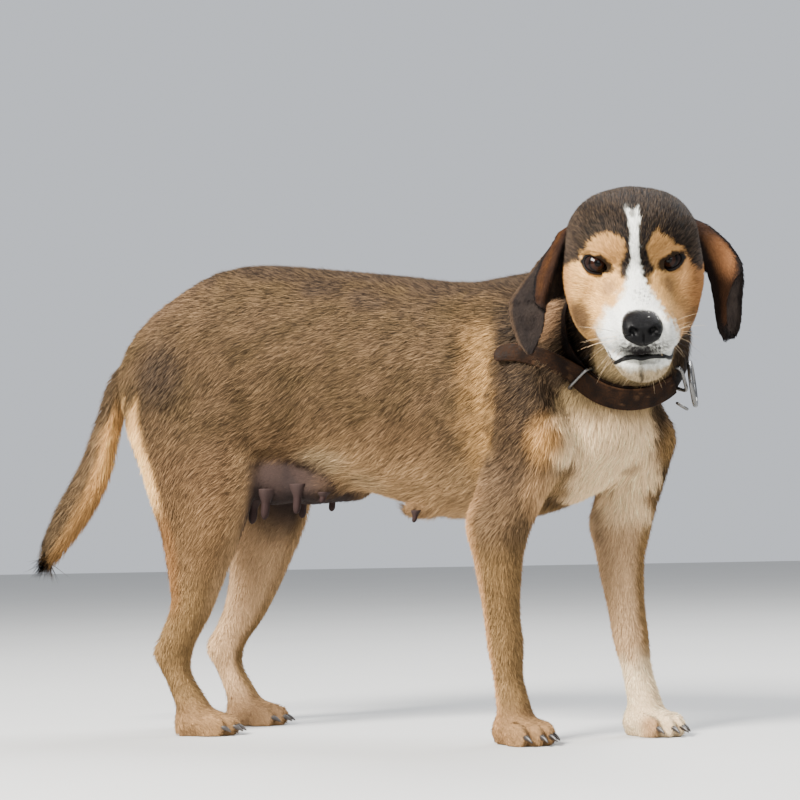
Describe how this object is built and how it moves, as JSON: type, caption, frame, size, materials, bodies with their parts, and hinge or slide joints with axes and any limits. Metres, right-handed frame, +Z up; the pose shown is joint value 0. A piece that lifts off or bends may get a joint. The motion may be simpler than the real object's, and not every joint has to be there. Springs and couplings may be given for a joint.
{
  "type": "standing hound dog",
  "caption": "Life-size standing hound bitch with drop ears and hanging tail, head turned to its right, wearing a plain leather collar.",
  "frame": {"origin": "centre of the bounding box in plan, on the floor under the paws", "axes": "+X forward from tail to head along the box's length, +Y to the dog's left, +Z up from the floor"},
  "size_m": [0.8114, 0.3134, 0.5092],
  "materials": {
    "body_coat": "short dense sable coat, grizzled brown over tan, darker along the back",
    "leg_coat": "short tan coat, paler down the rear edges, white to cream feet",
    "face_coat": "very short coat, dark cap, tan cheeks and brows, white blaze and muzzle",
    "ear_coat": "thin folded ear leather with short black and rust coat",
    "eye": "wet dark brown iris under a clear cornea",
    "claw": "dark horn",
    "collar_leather": "worn dark brown strap with scuffed edges",
    "collar_steel": "bright plated wire"
  },
  "bodies": {
    "root": {"trunk": "body_coat", "neck": "body_coat", "head": "face_coat", "eye_right": "eye", "eye_left": "eye", "tail": "body_coat", "fore_leg_right": "leg_coat", "fore_leg_left": "leg_coat", "hind_leg_right": "leg_coat", "hind_leg_left": "leg_coat", "fore_paw_right": "leg_coat", "fore_claw_right_1": "claw", "fore_claw_right_2": "claw", "fore_claw_right_3": "claw", "fore_claw_right_4": "claw", "fore_paw_left": "leg_coat", "fore_claw_left_1": "claw", "fore_claw_left_2": "claw", "fore_claw_left_3": "claw", "fore_claw_left_4": "claw", "hind_paw_right": "leg_coat", "hind_claw_right_1": "claw", "hind_claw_right_2": "claw", "hind_claw_right_3": "claw", "hind_claw_right_4": "claw", "hind_paw_left": "leg_coat", "hind_claw_left_1": "claw", "hind_claw_left_2": "claw", "hind_claw_left_3": "claw", "hind_claw_left_4": "claw", "ear_right": "ear_coat", "ear_left": "ear_coat", "collar_band": "collar_leather", "collar_tongue": "collar_leather", "collar_keeper": "collar_steel", "collar_buckle": "collar_steel", "collar_ring": "collar_steel", "collar_small_ring": "collar_steel"}
  },
  "joints": []
}
